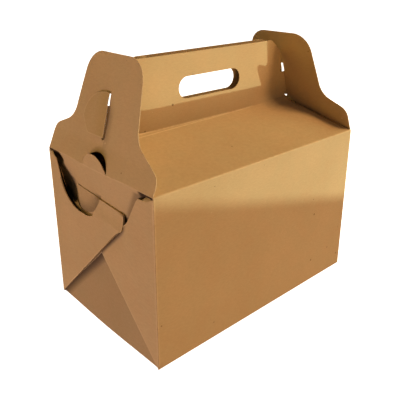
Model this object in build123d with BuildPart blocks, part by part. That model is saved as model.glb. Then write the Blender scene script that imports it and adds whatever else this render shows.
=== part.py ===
"""Carry box for a roast chicken, folded from one blank of kraft card.

Origin at the middle of the base, +Z up, +X along the long walls, front wall at -Y. Millimetres.
The wrap is the base, the long walls and the two roof halves. Each end is a panel with an ear above it,
and its corners are closed by webs that fold flat on the outside of the end. The right end is the left one
turned half round. The roof halves stand up as a carrying handle, and the front half has a lock tab at
each end that passes through the slot of an ear.
"""

import os
from math import asin, atan2, cos, degrees, radians, sin, sqrt, tan

from build123d import *

# Card
card = 0.6
layer_gap = 0.2
fold_radius = 1.2

# Box
length = 240.0
width = 149.0
height = 147.0

# Corner webs: the back one laps over the front one, and the front one's notch is smaller
web_drop = 2.0
web_top_slope = 0.19
hook_drop = 23.0
hook_length = 34.0
hook_slant = 6.5
hook_tip_radius = 1.5
hook_foot_radius = 3.0
web_tip_height = 15.0
web_tip_radius = 7.0
notch_drop = 45.0
notch_side = 14.0
notch_slant = 12.0
notch_radius = 31.0
notch_heel_radius = 15.0
front_notch_shift = 5.0
front_notch_slant = 20.0
web_inner_peek = 1.5
web_inner_drop = 13.0
back_lean_share = 2 / 3

# Largest fillets of a notch, as shares of its floor
notch_round_share = 0.8
notch_heel_share = 0.4

# End panels and ears, whose shoulders are high on one side and low on the other
end_base_strip = 10.0
end_gap = 0.6
end_bow_radius = 100.0
crease_inset = 0.2
ear_lean = 15.0
ear_bow_height = 16.0
ear_bow_radius = 40.0
ear_height = 91.0
ear_top_half = 35.0
ear_top_radius = 20.0
ear_waist_half = 45.5
ear_waist_height = 33.0
ear_waist_radius = 18.0
ear_shoulder_height = 21.0
ear_shoulder_radius = 11.0
low_waist_half = 43.5
low_waist_height = 30.0
low_shoulder_height = 11.5

# Vent tongue on each end's crease
vent_radius = 17.5
vent_drop = 4.5
vent_clearance = 0.4

# Roof halves and handle
roof_rise = 20.5
roof_gap_low = 0.8
roof_gap_high = 4.5
handle_half = 4.0
handle_height = 60.5
handle_straight = 120.0
handle_ear_gap = 0.8
handle_foot_gap = 6.0
back_handle_gap = 6.0
shoulder_drop = 12.0
shoulder_run = 15.0
shoulder_radius = 8.0
grip_length = 73.0
grip_height = 19.0
grip_rise = 31.0

# Lock tabs and the ears' slots for them
slot_width = 3.6
slot_length = 39.0
slot_margin = 2.0
neck_y = -1.2
neck_foot = 3.2
neck_height = 24.5
tab_clearance = 0.4
tab_fold_gap = 0.2
tab_reach = 29.4
tab_height = 36.5
tab_reach_height = 12.5
tab_crown = (22.5, 28.0)
tab_heel = 20.5
tab_heel_radius = 5.0
tab_slit = 1.0

# Places that follow from the sizes above
layer_pitch = card + layer_gap
web_top = height - web_drop
hook_top = height - hook_drop
web_reach = hook_top - web_tip_height
notch_floor = height - notch_drop
web_lean = asin(4 * layer_pitch / width)
back_lean = web_lean * back_lean_share
front_lean = web_lean - back_lean
end_half = width / 2 - layer_pitch
end_foot = length / 2 - layer_pitch
end_waist = length / 2 - 2 * layer_pitch - web_reach * sin(front_lean) - end_gap
end_head = length / 2 - crease_inset
end_lean = atan2(end_head - end_waist, hook_drop)
lean = radians(ear_lean)
ridge = height + roof_rise
roof_slope = roof_rise / (width / 2 - handle_half)
root = ridge - card / 2
handle_top = ridge + handle_height
handle_y = card / 2 - handle_half
shoulder = handle_top - shoulder_drop
neck_low = ridge + neck_foot
neck_high = neck_low + neck_height
neck_up_ear = (neck_low - height) / cos(lean)
slot_low = neck_up_ear - slot_margin


def roof_z(y):
    """Height of the roof's outer face at a distance y past the middle plane, seen from its own wall."""
    return height + (width / 2 + y) * roof_slope


def ear_x(z, out):
    """Distance from the middle plane to a face that lies out from the ear's outer face, at height z."""
    return end_waist - (z - height) * tan(lean) + out / cos(lean)


front_end = ear_x(shoulder, -card) - handle_ear_gap
back_end = front_end - back_handle_gap


def web_outline(sign, shift, slant, start, top, peek):
    """Edge of a corner web: diagonal fold, hooked tip and deep notch, from the corner and up the end."""
    hook_foot = web_reach - hook_length - peek
    heel = hook_foot - hook_slant
    floor = notch_floor + shift + peek
    side = notch_side + shift + peek
    notch_width = heel - side - slant
    notch_round = min(notch_radius, notch_width * notch_round_share)
    heel_round = min(notch_heel_radius, notch_width * notch_heel_share)
    points = [
        (start, start),
        (web_reach, web_reach),
        (web_reach, hook_top),
        (hook_foot, hook_top),
        (heel, floor),
        (side + slant, floor),
        (side, top - side * web_top_slope),
        (start, top),
    ]
    radii = [0, web_tip_radius, hook_tip_radius, hook_foot_radius, heel_round, notch_round, 0, 0]
    FilletPolyline([(sign * u, v) for u, v in points], radius=radii, close=True)


def handle_line():
    """Plan of the front handle's middle surface: straight, with ends that bend back to the ears' slots."""
    rise = neck_y - handle_y
    run = front_end - handle_straight / 2
    turn = degrees(2 * atan2(rise, run))
    bend_radius = run / (2 * sin(radians(turn)))
    left_neck = Line((-length / 2, neck_y), (-front_end, neck_y))
    left_out = JernArc(left_neck @ 1, (1, 0), bend_radius, -turn)
    left_in = JernArc(left_out @ 1, left_out % 1, bend_radius, turn)
    middle = Line(left_in @ 1, (handle_straight / 2, handle_y))
    right_in = JernArc(middle @ 1, (1, 0), bend_radius, turn)
    right_out = JernArc(right_in @ 1, right_in % 1, bend_radius, -turn)
    Line(right_out @ 1, (length / 2, neck_y))


# Wrap: base, long walls and roof halves in one section
with BuildPart() as wrap:
    with BuildSketch(Plane.YZ):
        with BuildLine():
            FilletPolyline(
                (neck_y + card, roof_z(neck_y + card)),
                (-width / 2, height),
                (-width / 2, 0),
                (width / 2, 0),
                (width / 2, height),
                (handle_half - card / 2, roof_z(card / 2 - handle_half)),
                radius=fold_radius,
            )
            offset(amount=card, side=Side.RIGHT)
        make_face()
    extrude(amount=(length - card) / 2, both=True)
    # The front roof half stops at the handle's curve
    with BuildSketch(Plane.XY.offset(height)):
        with BuildLine():
            handle_line()
            Polyline(
                (length / 2, neck_y),
                (length / 2, handle_half - 2 * card),
                (-length / 2, handle_half - 2 * card),
                (-length / 2, neck_y),
            )
        make_face()
    extrude(amount=handle_top - height, mode=Mode.SUBTRACT)
    # The roof halves narrow towards the handle, clear of the leaning ears
    with BuildSketch(Plane.XZ):
        with BuildLine():
            roof_end_low = end_head - card - roof_gap_low
            roof_end_high = ear_x(ridge, -card) - roof_gap_high
            Polyline(
                (roof_end_low, height + card),
                (length, height + card),
                (length, handle_top),
                (roof_end_high, handle_top),
                (roof_end_high, ridge),
                close=True,
            )
        make_face()
        mirror(about=Plane.YZ)
    extrude(amount=width, both=True, mode=Mode.SUBTRACT)
    # The base stops short of the end panels, which bring their own strip of it
    with Locations((end_foot, 0, 0), (-end_foot, 0, 0)):
        Box(2 * end_base_strip - fold_radius, 2 * end_half, 3 * card, mode=Mode.SUBTRACT)


ear_plane = Plane(origin=(-end_waist, 0, height), x_dir=(0, -1, 0), z_dir=(-cos(lean), 0, sin(lean)))
end_plane = Plane(origin=(-end_head, 0, height), x_dir=(0, -1, 0), z_dir=(-cos(end_lean), 0, -sin(end_lean)))


def web_plane(corner_y, turn):
    """Outer face of a corner web, turned a little from the end so that the webs lap."""
    along = (-sin(turn), -cos(turn), 0)
    return Plane(origin=(-length / 2, corner_y, 0), x_dir=along, z_dir=(-cos(turn), sin(turn), 0))


back_web = web_plane(width / 2, back_lean)
front_web = web_plane(-width / 2, front_lean)

# Left end: panel, ear, vent tongue and two corner webs
with BuildPart() as left_end:
    with BuildSketch(Plane.XZ):
        with BuildLine():
            FilletPolyline(
                (end_base_strip - end_foot, 0),
                (-end_foot, 0),
                (-end_waist, hook_top),
                (-end_head, height),
                (-ear_x(height + ear_bow_height, 0), height + ear_bow_height),
                (ear_height * sin(lean) - end_waist, height + ear_height * cos(lean)),
                radius=[fold_radius, end_bow_radius, fold_radius, ear_bow_radius],
            )
            offset(amount=card, side=Side.RIGHT)
        make_face()
    extrude(amount=end_half, both=True)
    # Ear outline, cut from the full width above the crease
    ear_rounds = [ear_shoulder_radius, ear_waist_radius, ear_top_radius]
    with BuildSketch(ear_plane):
        with Locations((0, ear_height)):
            Rectangle(2 * width, 2 * (ear_height - fold_radius))
        with BuildLine():
            FilletPolyline(
                (-end_half, 0),
                (-end_half, ear_shoulder_height),
                (-ear_waist_half, ear_waist_height),
                (-ear_top_half, ear_height),
                (ear_top_half, ear_height),
                (low_waist_half, low_waist_height),
                (end_half, low_shoulder_height),
                (end_half, 0),
                radius=ear_rounds + ear_rounds[::-1],
            )
            Line((end_half, 0), (-end_half, 0))
        make_face(mode=Mode.SUBTRACT)
    extrude(amount=vent_radius, both=True, mode=Mode.SUBTRACT)
    # Slot for the lock tab
    with BuildSketch(ear_plane):
        with Locations((0, slot_low + slot_length / 2)):
            SlotOverall(slot_length, slot_width, rotation=90)
    extrude(amount=3 * card, both=True, mode=Mode.SUBTRACT)
    # Vent: a half round hole in the ear, and its tongue that stays upright on the end panel
    with BuildSketch(ear_plane):
        with Locations((0, -vent_drop)):
            Circle(vent_radius)
        with Locations((0, -vent_radius)):
            Rectangle(2 * vent_radius, 2 * vent_radius, mode=Mode.SUBTRACT)
    extrude(amount=vent_radius, both=True, mode=Mode.SUBTRACT)
    with BuildSketch(end_plane):
        with Locations((0, -vent_drop)):
            Circle(vent_radius - vent_clearance)
        with Locations((0, -vent_radius - 2 * card)):
            Rectangle(2 * vent_radius, 2 * vent_radius, mode=Mode.SUBTRACT)
    extrude(amount=-card)
    # Corner webs: an outer and an inner layer, joined at the diagonal fold
    webs = (
        (1, back_web, 0, notch_slant),
        (-1, front_web, front_notch_shift, front_notch_slant),
    )
    for sign, outer_face, shift, slant in webs:
        with BuildSketch(outer_face):
            with BuildLine():
                web_outline(sign, shift, slant, card / 3, web_top, 0)
            make_face()
        extrude(amount=-card)
        with BuildSketch(outer_face.offset(-layer_pitch)):
            with BuildLine():
                web_outline(sign, shift, slant, layer_pitch, height - web_inner_drop, web_inner_peek)
            make_face()
        extrude(amount=-card)
        fold_end = web_reach - 2 * web_tip_radius
        fold_rise = card * sqrt(2)
        with BuildSketch(outer_face):
            with BuildLine():
                Polyline(
                    (sign * layer_pitch, layer_pitch),
                    (sign * fold_end, fold_end),
                    (sign * fold_end, fold_end + fold_rise),
                    (sign * layer_pitch, layer_pitch + fold_rise),
                    close=True,
                )
            make_face()
        extrude(amount=-layer_pitch - card)
        # Upright fold between the inner layer and the end panel
        with BuildSketch(Plane.XZ.offset(-sign * end_half)):
            with BuildLine():
                Polyline(
                    (-end_foot, 0),
                    (card - end_foot, 0),
                    (card - end_waist, hook_top),
                    (-end_foot, hook_top),
                    close=True,
                )
            make_face()
        extrude(amount=sign * card)

# Handle: the front half bends back to the slots, the back half is flat
with BuildPart() as front_handle:
    with BuildSketch(Plane.XY.offset(root)):
        with BuildLine():
            handle_line()
        trace(line_width=card)
    extrude(amount=handle_top - root)
    with BuildSketch(Plane.XZ):
        with BuildLine():
            foot_end = ear_x(ridge, -card) - handle_foot_gap
            neck_out = tab_clearance - tab_fold_gap
            FilletPolyline(
                (0, root),
                (foot_end, root),
                (foot_end, neck_low),
                (ear_x(neck_low, neck_out), neck_low),
                (ear_x(neck_high, neck_out), neck_high),
                (front_end, neck_high),
                (front_end, shoulder),
                (front_end - shoulder_run, handle_top),
                (0, handle_top),
                radius=[0, 0, 0, 0, 0, 0, shoulder_radius, shoulder_radius, 0],
                close=True,
            )
        make_face()
        mirror(about=Plane.YZ)
    extrude(amount=2 * handle_half, both=True, mode=Mode.INTERSECT)

with BuildPart() as back_handle:
    with BuildSketch(Plane.XZ.offset(-handle_half)):
        with BuildLine():
            FilletPolyline(
                (0, root),
                (back_end, root),
                (back_end, shoulder),
                (back_end - shoulder_run, handle_top),
                (0, handle_top),
                radius=[0, 0, shoulder_radius, shoulder_radius, 0],
                close=True,
            )
        make_face()
        mirror(about=Plane.YZ)
    extrude(amount=card)

# Carton: the whole folded blank, with the hand hole through both halves of the handle
with BuildPart() as carton:
    add(wrap.part)
    add(left_end.part)
    add(left_end.part.rotate(Axis.Z, 180))
    add(front_handle.part)
    add(back_handle.part)
    with BuildSketch(Plane.XZ):
        with Locations((0, ridge + grip_rise)):
            SlotOverall(grip_length, grip_height)
    extrude(amount=2 * handle_half, both=True, mode=Mode.SUBTRACT)

# Lock tabs: the ends of the front handle half, bent flat on the ears, one to the back and one to the front
with BuildPart() as lock_tab_left:
    with BuildSketch(ear_plane.offset(tab_clearance + card)):
        tab_edge = neck_y - card / 2
        tab_neck_top = neck_up_ear + neck_height / cos(lean)
        with BuildLine():
            crown = ThreePointArc(
                (-tab_edge - tab_slit, neck_up_ear + tab_height),
                (-tab_crown[0], neck_up_ear + tab_crown[1]),
                (-tab_reach, neck_up_ear + tab_reach_height),
            )
            FilletPolyline(
                crown @ 1,
                (-tab_heel, neck_up_ear),
                (-tab_edge, neck_up_ear),
                (-tab_edge, tab_neck_top),
                (-tab_edge - tab_slit, tab_neck_top),
                crown @ 0,
                radius=[tab_heel_radius, 0, 0, 0],
            )
        make_face()
    extrude(amount=-card)

with BuildPart() as lock_tab_right:
    with Locations((0, 2 * neck_y, 0)):
        add(lock_tab_left.part.rotate(Axis.Z, 180))

os.makedirs("parts", exist_ok=True)

carton.part.label = "carton"
export_step(carton.part, "parts/carton.step")

lock_tab_left.part.label = "lock_tab_left"
export_step(lock_tab_left.part, "parts/lock_tab_left.step")

lock_tab_right.part.label = "lock_tab_right"
export_step(lock_tab_right.part, "parts/lock_tab_right.step")
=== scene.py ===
"""A kraft card carry box: bowed panels, fibrous card, worn folds with painted highlights, painted shade in
the folds, pale cut edges and studio light.
"""
from math import cos, radians, sin, tan

import bmesh
import bpy
import numpy as np
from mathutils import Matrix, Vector
from mathutils.bvhtree import BVHTree


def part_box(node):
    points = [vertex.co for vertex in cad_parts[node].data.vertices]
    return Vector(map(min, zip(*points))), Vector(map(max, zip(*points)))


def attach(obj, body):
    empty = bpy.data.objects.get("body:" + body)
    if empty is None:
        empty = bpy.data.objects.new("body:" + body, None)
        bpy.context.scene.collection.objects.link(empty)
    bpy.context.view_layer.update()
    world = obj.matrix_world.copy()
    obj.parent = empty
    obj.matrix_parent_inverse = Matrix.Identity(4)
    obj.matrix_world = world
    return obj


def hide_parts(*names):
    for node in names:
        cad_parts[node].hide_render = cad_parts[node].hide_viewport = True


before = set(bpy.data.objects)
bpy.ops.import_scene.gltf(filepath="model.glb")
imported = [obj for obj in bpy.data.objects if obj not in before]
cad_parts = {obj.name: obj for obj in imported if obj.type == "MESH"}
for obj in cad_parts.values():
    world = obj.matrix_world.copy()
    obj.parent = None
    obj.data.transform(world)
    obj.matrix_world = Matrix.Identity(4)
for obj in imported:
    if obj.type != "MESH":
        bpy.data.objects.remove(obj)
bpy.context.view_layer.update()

MM = 0.001

# Camera, in the box's frame
CAMERA_PLACE = Vector((-322.03, -344.69, 298.50)) * MM
CAMERA_AZIMUTH = -42.24
CAMERA_ELEVATION = 20.72
FOCAL_PIXELS = 538.59
IMAGE_PIXELS = 400
CENTRE_PIXELS_DOWN = 165
SENSOR = 36.0

# The box's own places, in millimetres
HALF_LENGTH = 120.0
HALF_WIDTH = 74.5
HEIGHT = 147.0
RIDGE = 167.5
HANDLE_Y = -4.0
HOOK_TOP = 124.0
END_FOOT = 119.2
END_WAIST = 117.02
END_HEAD = 119.8
EAR_LEAN = radians(15)
BACK_WEB_SPREAD = 0.0143
FRONT_WEB_SPREAD = 0.0072
NECK_Y = -1.2
NOTCH_SIDE = 27.0
NOTCH_HEIGHT = 133.0
NOTCH_RADIUS = 31.0
FRONT_NOTCH_LINE = -23.7
OUT_LIMIT = 121.5
EAR_TOP = 234.9
SKIN = 1.0

# Bends of the ends, in millimetres
POCKET_DEPTH = 6.5
FRONT_WEB_PRESS = 0.62
HOOK_PRESS = 2.7
HOOK_SLOPE = 4.7
RIM_LIFT = 1.0
RIM_SINK = 1.6
RIM_SHRINK = 1.5
WEB_TOP_DROP = 1.6
PANEL_HOLLOW = 2.6
FRONT_NOTCH_DEPTH = 4.5
LIP_DEPTH = 4.0
BASE_BOW = 1.0
CREASE_BOW = 1.4
SLOT_PRESS = 0.9
SLOT_OPENING = 1.2
SLOT_TOP_DROP = 2.4

# Bends of the walls, the roof, the handle and the lock tabs, in millimetres
WALL_BOW = 0.7
ROOF_BOW = 0.8
HANDLE_FOOT_RISE = 3.6
HANDLE_FOOT_REACH = 13.0
BACK_HANDLE_RISE = 0.9
LEFT_EAR_DROP = 1.3
TAB_SLOPE = 0.06
TAB_CROWN = 0.6
TAB_DRAW = 0.05
TAB_TOP_DROP = 2.0

# Colours of the card, and of the shade and pale highlights painted on it
CARD_DARK = (0.465, 0.298, 0.136, 1)
CARD_PALE = (0.500, 0.324, 0.152, 1)
CARD_BLOTCH = (0.462, 0.318, 0.150, 1)
SPECK_DARK = (0.14, 0.075, 0.03, 1)
SPECK_PALE = (0.75, 0.58, 0.36, 1)
FOLD_SHADE = (0.02, 0.008, 0.002, 1)
FOLD_PALE = (0.78, 0.56, 0.31, 1)
CREVICE_SHADE = (0, 0, 0, 1)
# Painted shade on the lock tabs
TAB_SHADE = (0.86, 0.84, 0.68, 1)
CORE_DARK = (0.42, 0.27, 0.13, 1)
CORE_PALE = (0.56, 0.39, 0.21, 1)

# Specks: cells for each millimetre, largest radius in cells, and strength
SPECKS = ((0.07, 0.085, 0.65), (0.17, 0.085, 0.40))

# Studio lights: place and size in metres, and power in watts for red, green and blue
AREA_LIGHTS = (
    ("key", (0.6, -0.7, 1.7), 0.6, (23.0, 15.0, 8.4)),
    ("right", (1.2, -0.4, 1.3), 0.9, (6.0, 7.2, 5.0)),
    ("back", (-1.0, 0.9, 1.0), 0.9, (7.5, 5.0, 1.0)),
    ("left", (-1.4, 0.05, -0.35), 0.6, (10.4, 7.8, 8.2)),
    ("front", (-0.25, -1.4, -0.45), 0.6, (7.3, 4.5, 1.9)),
    ("front_right", (0.9, -1.2, -0.3), 0.6, (6.2, 4.7, 4.2)),
)
BAND_PLACE = (0.8, -1.0, -0.37)
BAND_AIM = (0.6845, -0.8371, 0.9146)
BAND_POWER = 64
BAND_COLOUR = (0.64, 0.80, 0.68)
BAND_CONE = radians(120)
BAND_BLEND = 0.006
BAND_SIZE = 0.007
LIGHT_AIM = (0, 0, 0.1)
WORLD_STRENGTH = 0.12
FLOOR_SIZE = 40
DOME_RADIUS = 16
STAGE_GLOW = 1.2

# Mesh for the bends: even cuts, and closer ones at the hooks, the diagonal folds and the handle's foot
CUT_STEP = 6.6
TAB_CUT_STEP = 1.2
RIM_WIDTH = 0.9
CREVICE_X = 108.0
CREVICE_START = 0.15
CREVICE_REACH = 16.0
CREVICE_RAYS = 32
HOOK_CUTS = np.arange(98.0, 150.0, 2.0)
SIDE_CUTS = (70.5, 72.0, 73.2)
FOOT_CUTS = np.arange(1.0, 15.0, 2.0)
DIAGONAL_CUTS = (-9.0, -6.0, -4.0, -2.4, -1.2)
WELD = 1e-6
CUT_WELD = 1e-7
EDGE_START = 0.05
EDGE_DEPTH = 2.0
SHARP_ANGLE = radians(35)


def ramp(value, low, high):
    """Smooth step from 0 at low to 1 at high."""
    t = np.clip((value - low) / (high - low), 0, 1)
    return t * t * (3 - 2 * t)


def bump(value, centre, reach):
    """Smooth hump, 1 at the centre and 0 beyond its reach."""
    t = np.clip(np.abs(value - centre) / reach, 0, 1)
    return (1 - t * t) ** 2


def panel_face(z):
    """Distance from the middle to the outer face of an end panel."""
    return np.interp(z, [0, HOOK_TOP, HEIGHT], [END_FOOT, END_WAIST, END_HEAD])


def bend_ends(p):
    """Ends: webs pressed on the panel at their hooks, a hollow panel behind them, a bowed crease."""
    x, y, z = p.T
    turn = np.where(x < 0, 1, -1)
    out = np.abs(x)
    side = y * turn
    wide = np.abs(side)
    face = panel_face(z)
    sink = HALF_LENGTH + BACK_WEB_SPREAD * (HALF_WIDTH - side) - out
    front_sink = BACK_WEB_SPREAD * (HALF_WIDTH - side) + FRONT_WEB_SPREAD * (side + HALF_WIDTH)
    end = (out > 115) & (z < HEIGHT - 0.3)
    web = end & (out > face + 0.05 + 0.3 * bump(z, HOOK_TOP, 10))
    sheet = end & ~web & (out > face - SKIN)
    # Webs: the front one lies under the back one, whose notch has a lifted rim and a sunk inner layer
    high = ramp(z, 78, 98)
    pocket = -POCKET_DEPTH * ramp(side, 28, 52) * (1 - ramp(side, 64, 73.5)) * bump(z, 114, 33)
    front_press = FRONT_WEB_PRESS * high * (1 - ramp(side, 40, 58)) * (1 - ramp(-side, 26, 38))
    front_move = -np.maximum(out - face, 0) * front_press + np.where(side < 40, pocket, 0)
    from_notch = np.hypot(side - NOTCH_SIDE, z - NOTCH_HEIGHT)
    rim = (1 - ramp(from_notch, NOTCH_RADIUS, NOTCH_RADIUS + 16)) * ramp(side, 4, 16)
    back_move = -HOOK_PRESS * ramp(z, 106, 121) * (1 - ramp(side, -8, 10))
    in_notch = (side > 8) & (from_notch < NOTCH_RADIUS - 1.6) & (sink > 1.2)
    under = (sink > (1.4 + front_sink) / 2) | in_notch
    inner = web & ~under & (sink > 0.7)
    back_move = back_move + rim * np.where(inner, -RIM_SINK, RIM_LIFT)
    move = np.where(web, np.where(under, front_move, back_move), 0)
    shift = np.where(inner, RIM_SHRINK * rim / np.maximum(from_notch, 1), 0)
    p[:, 1] += turn * shift * (side - NOTCH_SIDE)
    p[:, 2] += shift * (z - NOTCH_HEIGHT)
    slope = HOOK_SLOPE * np.clip((34.5 - side) / 69, 0, 1) * ramp(z, 98, 116)
    p[:, 2] -= np.where(web, slope * np.where(under, ramp(side, -12, 0), 1 - ramp(side, 10, 24)), 0)
    drop = WEB_TOP_DROP * ramp(z, 134, 142) * ramp(wide, 50, 58) * (1 - ramp(wide, 66, 74.3))
    p[:, 2] -= np.where(web, drop, 0)
    # Panel, hollow between the diagonal folds, behind the notches and under the crease's ends
    hollow = -PANEL_HOLLOW * bump(side, 0, 54) * bump(z, 58, 56)
    front_notch = -FRONT_NOTCH_DEPTH * ramp(-side, 26, 38) * (1 - ramp(-side, 62, 73.5)) * bump(z, 106, 18)
    lip = -LIP_DEPTH * bump(z, 140, 7) * ramp(wide, 55, 61) * (1 - ramp(wide, 66, 73.2))
    foot = BASE_BOW * bump(side, 0, 72) * (1 - ramp(z, 0, 30))
    move += np.where(sheet, hollow + pocket + front_notch + lip + foot, 0)
    # Crease and the ear's foot
    roof_end = END_HEAD - SKIN - 0.585 * (z - HEIGHT)
    near_crease = (z > HOOK_TOP) & (out > np.where(z < HEIGHT, face - SKIN, roof_end))
    crease = CREASE_BOW * bump(side, 0, 52) * ramp(z, HOOK_TOP, HEIGHT) * (1 - ramp(z, HEIGHT, 168))
    move += np.where(near_crease, crease, 0)
    # Ear beside the slot
    ear = (z > HEIGHT + 12) & (out > END_WAIST - (z - HEIGHT) * tan(EAR_LEAN) - SKIN)
    front_of_slot = ear & (side < -1.7)
    move += np.where(front_of_slot, -SLOT_PRESS * bump(side, -1.8, 13) * bump(z, 187, 24), 0)
    p[:, 0] = -turn * np.minimum(out + move, np.maximum(out, OUT_LIMIT))
    p[:, 1] += turn * np.where(front_of_slot, SLOT_OPENING * bump(side, -1.8, 9) * bump(z, 201, 16), 0)
    drop = SLOT_TOP_DROP * bump(side, 0, 4) * ramp(z, 201, 206) * (1 - ramp(z, 208, 216))
    p[:, 2] -= np.where(ear, drop, 0)


def bend_walls(p):
    """Walls and roof halves: shallow bows between their folds."""
    x, y, z = p.T
    along = bump(x, 0, 119)
    wall = (np.abs(y) > HALF_WIDTH - 1) & (z < HEIGHT)
    bow = WALL_BOW * along * np.sin(np.pi * np.clip(z / HEIGHT, 0, 1))
    p[:, 1] -= np.where(wall, np.sign(y) * bow, 0)
    span = np.clip((np.abs(y) + HANDLE_Y) / (HALF_WIDTH + HANDLE_Y), 0, 1)
    roof = (z > HEIGHT) & (z < RIDGE) & (np.abs(y) > -HANDLE_Y) & (np.abs(x) < END_HEAD - 1)
    p[:, 2] -= np.where(roof, ROOF_BOW * along * np.sin(np.pi * span), 0)


def bend_handle_foot(p):
    """Handle's foot: a crisp fold on the left that opens to a soft curve on the right."""
    x, y, z = p.T
    fold_y = np.interp(np.abs(x), [60, 97], [HANDLE_Y, NECK_Y])
    near = (y < fold_y + 0.9) & (np.abs(x) < 107)
    distance = np.hypot(np.minimum(y - fold_y, 0), z - RIDGE)
    rise = HANDLE_FOOT_RISE * ramp(x, 38, 84) * np.clip(1 - distance / HANDLE_FOOT_REACH, 0, 1) ** 2
    p[:, 1] -= np.where(near, 0.80 * rise, 0)
    p[:, 2] += np.where(near, 0.60 * rise, 0)


def bend_ears(p):
    """Left ear: a slightly lower top. Back handle half: a slightly higher one."""
    x, y, z = p.T
    back = (y > 2) & (np.abs(x) < 78) & (z > RIDGE)
    p[:, 2] += np.where(back, BACK_HANDLE_RISE * ramp(z, 212, 228), 0)
    inner = END_WAIST - (z - HEIGHT) * tan(EAR_LEAN) - 1.2
    ear = (x < 0) & (-x > inner) & (z > 200)
    p[:, 2] -= np.where(ear, LEFT_EAR_DROP * ramp(z, 200, EAR_TOP), 0)


def bend_carton(p):
    """All the bends of the carton, in turn."""
    bend_ends(p)
    bend_walls(p)
    bend_handle_foot(p)
    bend_ears(p)


def bend_tab(p):
    """Lock tab: a low crown, and its free end a little off the ear."""
    left = p[:, 0].mean() < 0
    reach = 1 if left else -1
    from_fold = (p[:, 1] - NECK_Y) * reach + 0.3
    lift = TAB_SLOPE * np.maximum(from_fold, 0) + TAB_CROWN * bump(from_fold, 10, 16)
    p[:, 0] += np.where(left, -1, 1) * lift * cos(EAR_LEAN)
    p[:, 1] -= reach * TAB_DRAW * np.maximum(from_fold, 0)
    p[:, 2] -= TAB_TOP_DROP * ramp(p[:, 2], 194, 214)
    p[:, 2] += lift * sin(EAR_LEAN)


def cut_places(node, step):
    """Planes that cut a node into faces small enough to bend, as (axis, place in millimetres)."""
    places = []
    for axis, (low, high) in enumerate(zip(*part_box(node))):
        places += [(axis, place) for place in np.arange(low / MM + step, high / MM, step)]
    if node != "carton":
        return places
    places += [(2, place + 0.3) for place in HOOK_CUTS]
    places += [(1, turn * place) for place in SIDE_CUTS for turn in (1, -1)]
    places += [(2, RIDGE + place) for place in FOOT_CUTS]
    places += [(1, HANDLE_Y - place) for place in FOOT_CUTS]
    return places


def hemisphere(count):
    """Evenly spread directions about +Z, closer together near the pole."""
    turn = np.arange(count) * np.pi * (3 - 5 ** 0.5)
    away = np.sqrt((np.arange(count) + 0.5) / count)
    return np.stack([away * np.cos(turn), away * np.sin(turn), np.sqrt(1 - away * away)], 1)


def add_crevice(mesh):
    """Stores how much of the sky near each point of the ends is hidden by card, from 0 to 1."""
    work = bmesh.new()
    work.from_mesh(mesh)
    tree = BVHTree.FromBMesh(work)
    rays = [Vector(ray) for ray in hemisphere(CREVICE_RAYS)]
    hidden = np.zeros(len(work.verts))
    for vertex in work.verts:
        if abs(vertex.co.x) < CREVICE_X * MM or vertex.co.z > (HEIGHT + 2) * MM:
            continue
        turn = vertex.normal.to_track_quat("Z", "Y")
        start = vertex.co + vertex.normal * CREVICE_START * MM
        hits = [tree.ray_cast(start, turn @ ray, CREVICE_REACH * MM)[0] is not None for ray in rays]
        hidden[vertex.index] = sum(hits) / CREVICE_RAYS
    work.free()
    crevice = mesh.attributes.new("crevice", "FLOAT", "POINT")
    crevice.data.foreach_set("value", hidden)


def add_rim(mesh, points):
    """Stores how near each point of a lock tab is to its cut edge, for a painted highlight, and to its fold,
    for painted shade, from 0 to 1.
    """
    edge = sorted({corner for face in mesh.polygons if face.material_index == 1 for corner in face.vertices})
    away = np.sqrt(((points[:, None] - points[None, edge]) ** 2).sum(2)).min(1)
    rim = mesh.attributes.new("rim", "FLOAT", "POINT")
    rim.data.foreach_set("value", np.clip(1 - away / RIM_WIDTH, 0, 1))
    fold = mesh.attributes.new("fold", "FLOAT", "POINT")
    fold.data.foreach_set("value", 1 - 0.6 * ramp(np.abs(points[:, 1] - NECK_Y), 0, 18))


def cut_diagonals(work):
    """Cuts the ends beside the webs' diagonal folds."""
    for offset in DIAGONAL_CUTS:
        for turn in (1, -1):
            faces = [face for face in work.faces if abs(face.calc_center_median().x) > CREVICE_X * MM]
            edges = dict.fromkeys(edge for face in faces for edge in face.edges)
            corners = dict.fromkeys(corner for face in faces for corner in face.verts)
            geometry = [*corners, *edges, *faces]
            place = Vector((0, 0, (HALF_WIDTH + offset) * MM))
            bmesh.ops.bisect_plane(work, geom=geometry, dist=CUT_WELD, plane_co=place, plane_no=(0, turn, 1))


def cut_card(node, step):
    """A node's mesh, cut into faces small enough to bend."""
    work = bmesh.new()
    work.from_mesh(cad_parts[node].data)
    bmesh.ops.remove_doubles(work, verts=work.verts, dist=WELD)
    for axis, place in cut_places(node, step):
        normal = Vector((0, 0, 0))
        normal[axis] = 1
        geometry = work.verts[:] + work.edges[:] + work.faces[:]
        point = normal * place * MM
        bmesh.ops.bisect_plane(work, geom=geometry, dist=CUT_WELD, plane_co=point, plane_no=normal)
    if node == "carton":
        cut_diagonals(work)
    return work


def mark_edges(work):
    """Gives the second material to the faces with no card right behind them, which are the cut edges."""
    work.normal_update()
    tree = BVHTree.FromBMesh(work)
    for face in work.faces:
        face.smooth = True
        start = face.calc_center_median() - face.normal * EDGE_START * MM
        hit = tree.ray_cast(start, -face.normal, EDGE_DEPTH * MM)
        face.material_index = 0 if hit[0] else 1


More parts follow.
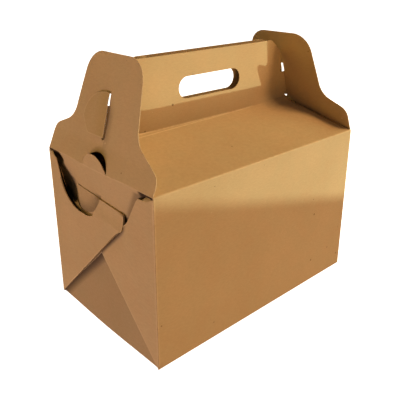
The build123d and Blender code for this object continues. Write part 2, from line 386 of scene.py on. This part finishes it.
def card_piece(name, node, body, bend, step):
    """A card piece in a node's place: its mesh cut finer, its cut edges found, and its sheets bent."""
    work = cut_card(node, step)
    mark_edges(work)
    mesh = bpy.data.meshes.new(name)
    work.to_mesh(mesh)
    work.free()
    points = np.empty(len(mesh.vertices) * 3)
    mesh.vertices.foreach_get("co", points)
    points = points.reshape(-1, 3) / MM
    rest = mesh.attributes.new("rest", "FLOAT_VECTOR", "POINT")
    rest.data.foreach_set("vector", points.ravel())
    if node != "carton":
        add_rim(mesh, points)
    bend(points)
    mesh.vertices.foreach_set("co", (points * MM).ravel())
    mesh.update()
    if node == "carton":
        add_crevice(mesh)
    mesh.set_sharp_from_angle(angle=SHARP_ANGLE)
    for material in (kraft, card_edge):
        mesh.materials.append(material)
    piece = bpy.data.objects.new(name, mesh)
    bpy.context.scene.collection.objects.link(piece)
    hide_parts(node)
    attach(piece, body)


class Wiring:
    """Short hand for a material's nodes."""

    def __init__(self, name):
        self.material = bpy.data.materials.new(name)
        self.material.use_nodes = True
        self.tree = self.material.node_tree
        self.shader = self.tree.nodes["Principled BSDF"]

    def put(self, socket, value):
        if isinstance(value, bpy.types.NodeSocket):
            self.tree.links.new(value, socket)
        else:
            socket.default_value = value

    def math(self, operation, *values):
        node = self.tree.nodes.new("ShaderNodeMath")
        node.operation = operation
        for socket, value in zip(node.inputs, values):
            self.put(socket, value)
        return node.outputs[0]

    def product(self, first, *others):
        for other in others:
            first = self.math("MULTIPLY", first, other)
        return first

    def largest(self, first, *others):
        for other in others:
            first = self.math("MAXIMUM", first, other)
        return first

    def length(self, first, second):
        squares = self.math("ADD", self.product(first, first), self.product(second, second))
        return self.math("SQRT", squares)

    def stored(self, name, output="Fac"):
        node = self.tree.nodes.new("ShaderNodeAttribute")
        node.attribute_name = name
        return node.outputs[output]

    def scaled(self, vector, scale):
        node = self.tree.nodes.new("ShaderNodeVectorMath")
        node.operation = "MULTIPLY"
        self.put(node.inputs[0], vector)
        node.inputs[1].default_value = scale
        return node.outputs[0]

    def noise(self, vector, scale, detail, roughness=0.5):
        node = self.tree.nodes.new("ShaderNodeTexNoise")
        self.put(node.inputs["Vector"], vector)
        node.inputs["Scale"].default_value = scale
        node.inputs["Detail"].default_value = detail
        node.inputs["Roughness"].default_value = roughness
        return node.outputs["Fac"]

    def cells(self, vector, scale):
        node = self.tree.nodes.new("ShaderNodeTexVoronoi")
        self.put(node.inputs["Vector"], vector)
        node.inputs["Scale"].default_value = scale
        split = self.tree.nodes.new("ShaderNodeSeparateColor")
        self.put(split.inputs[0], node.outputs["Color"])
        return node.outputs["Distance"], split.outputs[0], split.outputs[1]

    def step(self, value, low, high, first=0.0, last=1.0):
        node = self.tree.nodes.new("ShaderNodeMapRange")
        node.interpolation_type = "SMOOTHSTEP"
        for socket, amount in zip(node.inputs, (value, low, high, first, last)):
            self.put(socket, amount)
        return node.outputs[0]

    def mix(self, factor, first, second, blend="MIX"):
        node = self.tree.nodes.new("ShaderNodeMix")
        node.data_type = "RGBA"
        node.blend_type = blend
        for socket, value in zip((node.inputs[0], node.inputs[6], node.inputs[7]), (factor, first, second)):
            self.put(socket, value)
        return node.outputs[2]

    def split(self, vector):
        node = self.tree.nodes.new("ShaderNodeSeparateXYZ")
        self.put(node.inputs[0], vector)
        return node.outputs

    def line(self, first, second, width):
        """1 on the line where both distances are 0, fading out at a width."""
        return self.step(self.length(first, second), width * 0.3, width, 1.0, 0.0)


def fold_wear_and_highlight(w, rest):
    """Pale worn lines on the scored folds, and a painted highlight along the webs' diagonal folds, from 0 to
    1.
    """
    x, y, z = w.split(rest)
    out = w.math("ABSOLUTE", x)
    wide = w.math("ABSOLUTE", y)
    to_corner = w.math("SUBTRACT", out, HALF_LENGTH)
    to_crease = w.math("SUBTRACT", out, END_HEAD)
    to_wall = w.math("SUBTRACT", wide, HALF_WIDTH)
    to_top = w.math("SUBTRACT", z, HEIGHT)
    to_handle = w.math("SUBTRACT", y, HANDLE_Y)
    upright = w.product(w.line(to_corner, to_wall, 2.4), w.step(z, 60, HEIGHT, 0.35, 0.6))
    eaves = w.product(w.line(to_wall, to_top, 1.5), 0.35)
    base = w.product(w.line(to_wall, z, 1.4), 0.3)
    crease = w.product(w.line(to_crease, to_top, 0.8), w.step(wide, 50, 62, 0.4, 0.0))
    # Painted highlight along the webs' diagonal fold edges
    to_diagonal = w.math("SUBTRACT", w.math("ADD", w.math("SUBTRACT", z, HALF_WIDTH), wide), 0.6)
    diagonal = w.product(w.step(w.math("ABSOLUTE", to_diagonal), 0.2, 1.0, 1.0, 0.0),
                         w.step(out, 116, 117), w.step(z, 72, 78, 0.5, 0.0))
    # The handle's foot: its fold, and a second line that drifts away from it to the left
    fold = w.line(to_handle, w.math("SUBTRACT", z, RIDGE), 1.0)
    drift = w.product(w.math("SUBTRACT", 57.0, x), 0.028)
    level = w.math("ABSOLUTE", w.math("SUBTRACT", z, 166.0))
    second = w.product(w.line(w.math("ADD", to_handle, drift), 0.0, 0.8),
                       w.step(level, 2.0, 2.6, 1.0, 0.0), w.step(x, -104, -102))
    foot = w.product(w.largest(fold, second), w.step(x, 44, 60, 0.8, 0.0))
    lines = w.largest(upright, eaves, base, crease, diagonal, foot)
    return w.product(lines, w.step(w.noise(rest, 0.22, 2.0), 0.3, 0.55, 0.45, 1.0))


def end_shade(w, rest):
    """Shade in the folds of an end, from 0 to 1."""
    x, y, z = w.split(rest)
    out = w.math("ABSOLUTE", x)
    wide = w.math("ABSOLUTE", y)
    side = w.product(y, w.product(w.math("SIGN", x), -1.0))
    # Painted shade on the triangle between the webs, and a painted shadow under the back web's diagonal edge
    rise = w.math("SUBTRACT", HALF_WIDTH, z)
    under_back = w.math("SUBTRACT", rise, side)
    under_front = w.math("ADD", rise, side)
    triangle = w.step(w.math("MINIMUM", under_back, under_front), 0.0, 1.5)
    reach = w.math("ADD", w.product(triangle, 14.0), 6.0)
    cast = w.product(w.step(w.math("DIVIDE", under_back, reach), -0.1, 1.0, 0.85, 0.0),
                     w.step(under_back, -0.3, 0.0), w.step(side, -40, -33))
    # Painted shade on the front web's tip in the back web's notch, and on the panel in the front web's notch
    from_notch = w.length(w.math("SUBTRACT", side, NOTCH_SIDE), w.math("SUBTRACT", z, NOTCH_HEIGHT))
    tip = w.product(w.step(from_notch, NOTCH_RADIUS - 14, NOTCH_RADIUS - 1, 0.10, 0.50),
                    w.step(from_notch, NOTCH_RADIUS - 0.5, NOTCH_RADIUS, 1.0, 0.0),
                    w.step(z, HOOK_TOP - 1, HOOK_TOP + 1, 1.0, 0.0))
    face = w.math("ADD", w.product(w.math("SUBTRACT", z, HOOK_TOP), 0.121), 117.27)
    sheet = w.math("SUBTRACT", w.math("MAXIMUM", face, 118.0), out)
    along = w.math("ADD", w.product(side, 0.863), w.product(z, 0.508))
    lap = w.product(w.step(w.math("ADD", along, FRONT_NOTCH_LINE), 3.0, 8.0, 0.42, 0.0),
                    w.step(sheet, 0.0, 0.2), w.step(side, -36, -30, 1.0, 0.0),
                    w.step(z, 106, 110), w.step(side, -73.5, -72.5))
    # Painted shade in the gap under each end of the crease
    gap = w.product(w.step(wide, 54, 59, 0.0, 0.93), w.step(wide, 73.75, 73.85, 1.0, 0.0),
                    w.step(z, 134, 140), w.step(sheet, 0.0, 0.1),
                    w.step(z, HEIGHT - 0.6, HEIGHT - 0.3, 1.0, 0.0))
    shade = w.largest(w.product(triangle, 0.24), cast, tip, lap)
    shade = w.product(shade, w.step(z, HEIGHT - 4, HEIGHT - 2, 1.0, 0.0))
    shade = w.product(w.largest(shade, gap), w.step(out, 114, 115))
    # Painted shadow on the ear beside its slot
    slot = w.product(w.step(side, -11.0, -1.8, 0.0, 0.34), w.step(side, -1.7, -1.5, 1.0, 0.0),
                     w.step(z, 158, 176), w.step(z, 188, 202, 1.0, 0.0), w.step(out, 101.0, 101.5))
    return w.largest(shade, slot)


def make_kraft():
    """Brown kraft card: cloudy colour, short fibres, specks, pale worn folds with painted highlights, and
    painted shade deep in the folds and on the lock tabs.
    """
    w = Wiring("kraft_card")
    rest = w.stored("rest", "Vector")
    cloud = w.noise(rest, 0.016, 3.0)
    blotch = w.noise(rest, 0.055, 2.0)
    fibre = w.noise(w.scaled(rest, (0.3, 0.3, 1.0)), 0.9, 5.0, 0.65)
    grain = w.noise(rest, 2.6, 3.0, 0.6)
    colour = w.mix(w.step(cloud, 0.3, 0.7), CARD_DARK, CARD_PALE)
    colour = w.mix(w.step(blotch, 0.35, 0.65, 0.0, 0.5), colour, CARD_BLOTCH)
    texture = w.math("ADD", w.product(fibre, 0.6), w.product(grain, 0.4))
    colour = w.mix(1.0, colour, w.step(texture, 0.30, 0.70, 0.94, 1.06), "MULTIPLY")
    for scale, size, strength in SPECKS:
        distance, chance, tone = w.cells(rest, scale)
        radius = w.product(chance, chance, size)
        speck = w.step(w.math("SUBTRACT", distance, radius), -0.014, 0.006, strength, 0.0)
        dark = w.product(speck, w.step(tone, 0.50, 0.55))
        pale = w.product(speck, w.step(tone, 0.45, 0.50, 0.6, 0.0))
        colour = w.mix(dark, colour, SPECK_DARK)
        colour = w.mix(pale, colour, SPECK_PALE)
    # Painted shade and shadows in the folds of the ends and beside the ears' slots
    colour = w.mix(end_shade(w, rest), colour, FOLD_SHADE)
    # Painted shade, a little yellow, on the lock tabs, deepest by their fold
    colour = w.mix(w.stored("fold"), colour, w.mix(1.0, colour, TAB_SHADE, "MULTIPLY"))
    # Pale worn folds, with a painted highlight on the webs' diagonal folds and on the lock tabs' rims
    wear_and_highlight = w.largest(fold_wear_and_highlight(w, rest), w.product(w.stored("rim"), 0.6))
    colour = w.mix(w.product(wear_and_highlight, 0.55), colour, FOLD_PALE)
    # Painted shade where nearby card hides the sky
    colour = w.mix(w.step(w.stored("crevice"), 0.58, 0.95, 0.0, 0.94), colour, CREVICE_SHADE)
    w.put(w.shader.inputs["Base Color"], colour)
    w.put(w.shader.inputs["Roughness"], w.step(texture, 0.3, 0.7, 0.84, 0.66))
    w.shader.inputs["Specular IOR Level"].default_value = 0.16
    bump_node = w.tree.nodes.new("ShaderNodeBump")
    bump_node.inputs["Strength"].default_value = 0.18
    bump_node.inputs["Distance"].default_value = 0.12 * MM
    w.put(bump_node.inputs["Height"], texture)
    w.put(w.shader.inputs["Normal"], bump_node.outputs["Normal"])
    return w.material


def make_card_edge():
    """Cut edges: the paler, rougher core of the card, in thin plies."""
    w = Wiring("card_edge")
    rest = w.stored("rest", "Vector")
    plies = w.noise(rest, 3.0, 3.0, 0.7)
    colour = w.mix(w.step(plies, 0.3, 0.7), CORE_DARK, CORE_PALE)
    w.put(w.shader.inputs["Base Color"], colour)
    w.put(w.shader.inputs["Roughness"], w.step(plies, 0.3, 0.7, 0.95, 0.8))
    w.shader.inputs["Specular IOR Level"].default_value = 0.2
    return w.material


def add_camera():
    """The photo's viewpoint and framing."""
    data = bpy.data.cameras.new("camera")
    data.sensor_fit = "HORIZONTAL"
    data.sensor_width = SENSOR
    data.lens = FOCAL_PIXELS / IMAGE_PIXELS * SENSOR
    data.shift_y = (CENTRE_PIXELS_DOWN - IMAGE_PIXELS / 2) / IMAGE_PIXELS
    data.clip_start = 0.01
    camera = bpy.data.objects.new("camera", data)
    camera.location = CAMERA_PLACE
    camera.rotation_euler = (radians(90 - CAMERA_ELEVATION), 0, radians(CAMERA_AZIMUTH))
    bpy.context.scene.collection.objects.link(camera)
    bpy.context.scene.camera = camera


def add_light(name, kind, place, aim, power, colour):
    """A light that is not itself seen."""
    data = bpy.data.lights.new(name, kind)
    data.energy = power
    data.color = colour
    light = bpy.data.objects.new(name, data)
    light.location = place
    light.rotation_euler = (Vector(aim) - Vector(place)).to_track_quat("-Z", "Y").to_euler()
    light.visible_camera = False
    bpy.context.scene.collection.objects.link(light)
    return data


def add_stage():
    """White floor and a white dome far behind it, which light nothing."""
    material = bpy.data.materials.new("stage")
    material.use_nodes = True
    shader = material.node_tree.nodes["Principled BSDF"]
    shader.inputs["Base Color"].default_value = (0.9, 0.9, 0.9, 1)
    shader.inputs["Roughness"].default_value = 0.9
    shader.inputs["Emission Color"].default_value = (1, 1, 1, 1)
    shader.inputs["Emission Strength"].default_value = STAGE_GLOW
    bpy.ops.mesh.primitive_plane_add(size=FLOOR_SIZE, location=(0, 0, 0))
    floor = bpy.context.object
    floor.name = "floor"
    bpy.ops.mesh.primitive_uv_sphere_add(segments=48, ring_count=24, radius=DOME_RADIUS, location=(0, 0, 0))
    dome = bpy.context.object
    dome.name = "dome"
    for piece in (floor, dome):
        piece.data.materials.append(material)
        piece.visible_diffuse = False
        piece.visible_glossy = False
        piece.visible_shadow = False


def studio():
    """Faint even light, area lights, and a spot whose edge makes the bright band on the front."""
    world = bpy.data.worlds.new("world")
    bpy.context.scene.world = world
    world.use_nodes = True
    sky = world.node_tree.nodes["Background"]
    sky.inputs["Color"].default_value = (1, 1, 1, 1)
    sky.inputs["Strength"].default_value = WORLD_STRENGTH
    add_stage()
    for name, place, size, power in AREA_LIGHTS:
        strength = max(power)
        light = add_light(name, "AREA", place, LIGHT_AIM, strength, [part / strength for part in power])
        light.size = size
    band = add_light("band", "SPOT", BAND_PLACE, BAND_AIM, BAND_POWER, BAND_COLOUR)
    band.spot_size = BAND_CONE
    band.spot_blend = BAND_BLEND
    band.shadow_soft_size = BAND_SIZE


kraft = make_kraft()
card_edge = make_card_edge()
card_piece("card_box", "carton", "box", bend_carton, CUT_STEP)
card_piece("card_tab_left", "lock_tab_left", "tab_left", bend_tab, TAB_CUT_STEP)
card_piece("card_tab_right", "lock_tab_right", "tab_right", bend_tab, TAB_CUT_STEP)
add_camera()
studio()
bpy.context.scene.view_settings.view_transform = "Standard"
